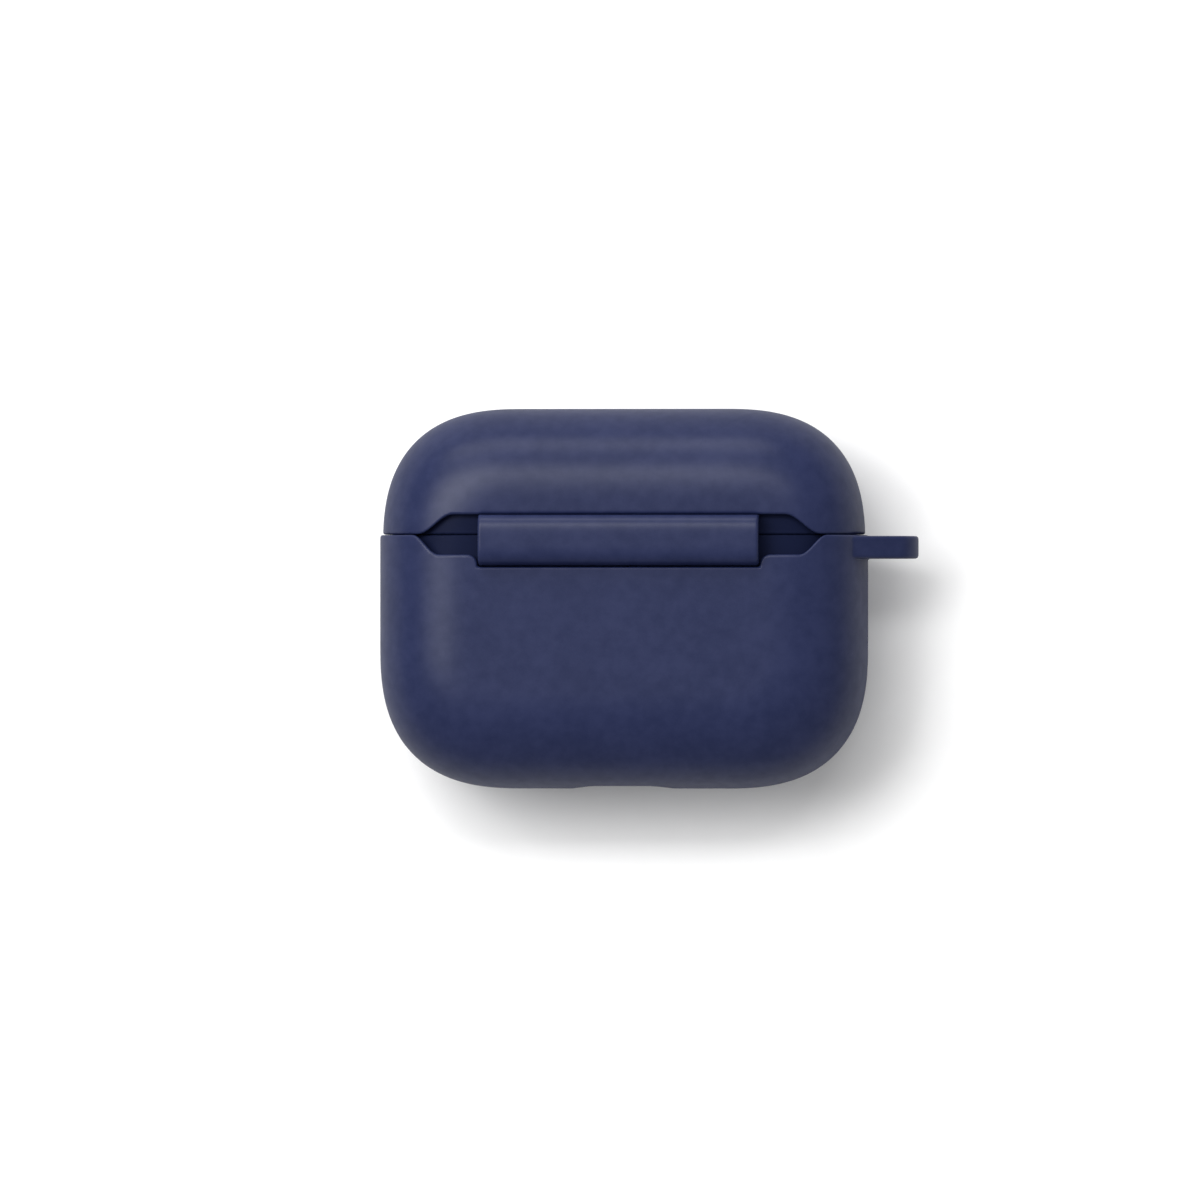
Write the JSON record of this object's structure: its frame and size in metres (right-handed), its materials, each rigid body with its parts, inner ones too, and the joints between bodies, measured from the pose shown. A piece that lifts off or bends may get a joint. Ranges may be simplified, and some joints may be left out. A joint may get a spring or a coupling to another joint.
{
  "type": "wireless earbuds charging case",
  "caption": "Pocket charging case for wireless earbuds in a matte silicone sleeve, with a hinged lid, a strap over the hinge, a port window and a lanyard lug.",
  "frame": {"origin": "middle of the sleeve's flat front face, on which the case lies", "axes": "+X along the case's width towards the lanyard lug, +Y towards the top of the lid, +Z out of the back, where the hinge is"},
  "size_m": [0.0702, 0.0495, 0.0265],
  "materials": {
    "navy_silicone": "matte moulded silicone with a very fine grain",
    "white_tape": "thin double-sided tape",
    "dark_shell": "satin dark navy plastic",
    "inner_plastic": "fine spark-eroded dark navy plastic",
    "hinge_steel": "stamped stainless steel",
    "pin_steel": "ground bright steel",
    "screw_steel": "small machine screws",
    "magnet_nickel": "nickel plated magnet",
    "gold_plate": "gold plated contact",
    "circuit_board": "green solder mask over traces",
    "flex_film": "amber flexible circuit film",
    "button_plastic": "smooth dark navy button",
    "battery_foil": "laminated pouch foil",
    "black_foam": "closed cell foam",
    "chip_black": "moulded black epoxy",
    "port_steel": "drawn steel port shell",
    "gasket_rubber": "soft black rubber",
    "coil_copper": "enamelled copper wire",
    "ferrite": "grey black ferrite sheet",
    "led_white": "light emitting diode body",
    "clear_pipe": "frosted clear light pipe"
  },
  "bodies": {
    "base": {"base_sleeve": "navy_silicone", "base_shell": "dark_shell", "earbud_cradle": "inner_plastic", "base_hinge_leaf": "hinge_steel", "hinge_pin": "pin_steel", "hinge_pin_clip": "hinge_steel", "base_hinge_screws": "screw_steel", "latch_magnets": "magnet_nickel", "earbud_magnets": "magnet_nickel", "contact_barrels": "gold_plate", "contact_boards": "circuit_board", "contact_leads": "flex_film", "button_switch": "hinge_steel", "battery": "battery_foil", "battery_pad": "black_foam", "battery_lead": "flex_film", "main_board": "circuit_board", "board_chips": "chip_black", "board_screws": "screw_steel", "port_shell": "port_steel", "port_tongue": "chip_black", "port_gasket": "gasket_rubber", "charging_coil": "coil_copper", "ferrite_sheet": "ferrite", "coil_lead": "flex_film", "status_light": "led_white", "status_light_board": "circuit_board", "light_pipe": "clear_pipe", "lid_sensor": "chip_black"},
    "lid": {"lid_sleeve": "navy_silicone", "hinge_strap": "navy_silicone", "lid_sleeve_tape": "white_tape", "lid_shell": "dark_shell", "lid_liner": "inner_plastic", "lid_hinge_leaf": "hinge_steel", "lid_hinge_screws": "screw_steel", "latch_plates": "hinge_steel", "lid_sensor_magnet": "magnet_nickel"},
    "left_contacts": {"left_contact_pins": "gold_plate"},
    "right_contacts": {"right_contact_pins": "gold_plate"},
    "button": {"pairing_button": "button_plastic"}
  },
  "joints": [
    {"name": "lid_hinge", "type": "hinge", "parent": "base", "child": "lid", "pos_m": [0, 0.0075, 0.02305], "axis": [1, 0, 0], "range_deg": [0, 105], "deforming": ["hinge_strap"]},
    {"name": "left_contacts_press", "type": "slide", "parent": "base", "child": "left_contacts", "axis": [0, -1, 0], "range_m": [0, 0.0004], "stiffness_N_per_m": 600, "springref_m": -0.0004},
    {"name": "right_contacts_press", "type": "slide", "parent": "base", "child": "right_contacts", "axis": [0, -1, 0], "range_m": [0, 0.0004], "stiffness_N_per_m": 600, "springref_m": -0.0004},
    {"name": "pairing_button_press", "type": "slide", "parent": "base", "child": "button", "axis": [0, -1, 0], "range_m": [0, 0.0003], "stiffness_N_per_m": 800, "springref_m": -0.0003}
  ]
}
